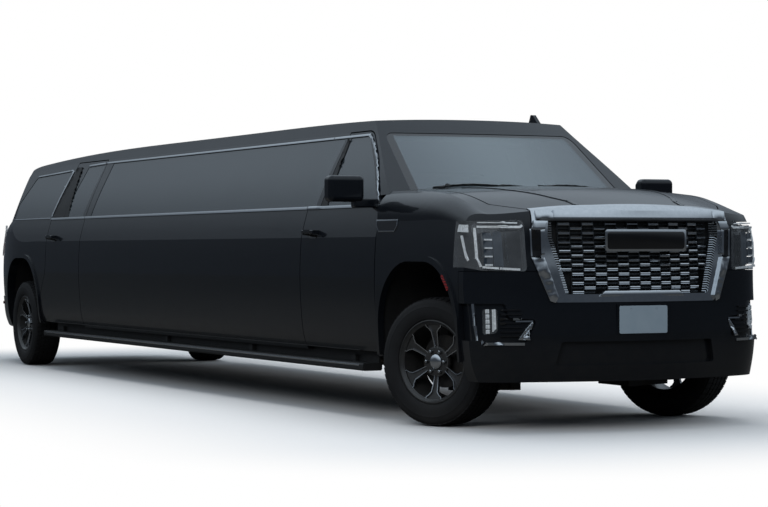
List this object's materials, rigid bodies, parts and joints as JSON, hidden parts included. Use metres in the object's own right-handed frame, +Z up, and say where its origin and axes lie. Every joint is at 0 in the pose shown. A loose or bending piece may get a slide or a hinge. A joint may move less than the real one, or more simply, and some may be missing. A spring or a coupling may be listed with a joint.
{
  "type": "stretch limousine",
  "caption": "Long-wheelbase sport utility limousine with a stretched cabin, side windows, hinged doors, bonnet and tailgate, steered front wheels and rolling wheels.",
  "frame": {"origin": "on the ground under the middle of the vehicle's box", "axes": "+X towards the vehicle's nose, +Y to its left, +Z up"},
  "size_m": [10.7938, 2.608, 2.0345],
  "materials": {
    "paint": "gloss black clear coat",
    "chrome": "polished chrome",
    "lamp_lens": "clear moulded lens",
    "red_lens": "red moulded lens",
    "glass": "clear laminated",
    "tinted_glass": "dark tint",
    "trim_plastic": "grained black",
    "underbody": "satin black",
    "suspension": "satin grey",
    "engine": "cast",
    "exhaust_steel": "dull steel",
    "board": "ribbed black",
    "alloy": "polished",
    "tyre": "black rubber",
    "cabin_trim": "soft grained",
    "leather": "stitched black",
    "wood": "lacquered"
  },
  "bodies": {
    "chassis": {"stretch_sides": "paint", "rear_quarters": "paint", "roof": "paint", "front_fenders": "paint", "front_bumper": "paint", "rear_bumper": "paint", "grille_surround": "chrome", "grille_mesh": "chrome", "headlamps": "lamp_lens", "fog_lamps": "lamp_lens", "tail_lamps": "red_lens", "windscreen": "glass", "side_glass": "tinted_glass", "cowl": "trim_plastic", "cabin_structure": "underbody", "wheel_liners": "trim_plastic", "radiator_support": "underbody", "chassis_frame": "underbody", "front_suspension": "suspension", "rear_axle": "suspension", "rear_springs": "suspension", "engine_block": "engine", "fuel_tank": "trim_plastic", "propeller_shaft": "suspension", "exhaust": "exhaust_steel", "running_boards": "board", "dashboard": "cabin_trim", "steering_wheel": "cabin_trim", "front_seats": "leather", "partition": "cabin_trim", "benches": "leather", "bar_counter": "wood"},
    "knuckle_left": {"knuckle_left": "suspension"},
    "wheel_front_left": {"tyre_front_left": "tyre", "rim_front_left": "alloy"},
    "wheel_rear_left": {"tyre_rear_left": "tyre", "rim_rear_left": "alloy"},
    "front_door_left": {"front_door_left": "paint", "front_door_glass_left": "tinted_glass", "mirror_left": "paint"},
    "rear_door_left": {"rear_door_left": "paint", "rear_door_glass_left": "tinted_glass"},
    "knuckle_right": {"knuckle_right": "suspension"},
    "wheel_front_right": {"tyre_front_right": "tyre", "rim_front_right": "alloy"},
    "wheel_rear_right": {"tyre_rear_right": "tyre", "rim_rear_right": "alloy"},
    "front_door_right": {"front_door_right": "paint", "front_door_glass_right": "tinted_glass", "mirror_right": "paint"},
    "rear_door_right": {"rear_door_right": "paint", "rear_door_glass_right": "tinted_glass"},
    "hood": {"hood": "paint"},
    "tailgate": {"tailgate": "paint", "tailgate_glass": "tinted_glass"}
  },
  "joints": [
    {"name": "steer_left", "type": "hinge", "parent": "chassis", "child": "knuckle_left", "pos_m": [4.4, 0.77, 0.4], "axis": [0, 0, 1], "range_deg": [-59, 11]},
    {"name": "steer_right", "type": "hinge", "parent": "chassis", "child": "knuckle_right", "pos_m": [4.4, -0.77, 0.4], "axis": [0, 0, 1], "range_deg": [-59, 11]},
    {"name": "spin_front_left", "type": "hinge", "parent": "knuckle_left", "child": "wheel_front_left", "pos_m": [4.35933, 0.86135, 0.4], "axis": [-0.4067, 0.9135, 0], "continuous": true},
    {"name": "spin_front_right", "type": "hinge", "parent": "knuckle_right", "child": "wheel_front_right", "pos_m": [4.44067, -0.86135, 0.4], "axis": [-0.4067, 0.9135, 0], "continuous": true},
    {"name": "spin_rear_left", "type": "hinge", "parent": "chassis", "child": "wheel_rear_left", "pos_m": [-4.086, 0.87, 0.4], "axis": [0, 1, 0], "continuous": true},
    {"name": "spin_rear_right", "type": "hinge", "parent": "chassis", "child": "wheel_rear_right", "pos_m": [-4.086, -0.87, 0.4], "axis": [0, 1, 0], "continuous": true},
    {"name": "front_door_left_hinge", "type": "hinge", "parent": "chassis", "child": "front_door_left", "pos_m": [3.7955, 1.031, 0.9], "axis": [0, 0, -1], "range_deg": [0, 65]},
    {"name": "rear_door_left_hinge", "type": "hinge", "parent": "chassis", "child": "rear_door_left", "pos_m": [-2.3105, 1.031, 0.9], "axis": [0, 0, -1], "range_deg": [0, 70]},
    {"name": "front_door_right_hinge", "type": "hinge", "parent": "chassis", "child": "front_door_right", "pos_m": [3.7955, -1.031, 0.9], "axis": [0, 0, 1], "range_deg": [0, 65]},
    {"name": "rear_door_right_hinge", "type": "hinge", "parent": "chassis", "child": "rear_door_right", "pos_m": [-2.3105, -1.031, 0.9], "axis": [0, 0, 1], "range_deg": [0, 70]},
    {"name": "hood_hinge", "type": "hinge", "parent": "chassis", "child": "hood", "pos_m": [3.958, 0, 1.51], "axis": [0, -1, 0], "range_deg": [0, 50]},
    {"name": "tailgate_hinge", "type": "hinge", "parent": "chassis", "child": "tailgate", "pos_m": [-4.98, 0, 1.91], "axis": [0, 1, 0], "range_deg": [0, 75]}
  ],
  "couplings": [
    {"joint": "steer_right", "follows": "steer_left", "ratio": 1}
  ]
}
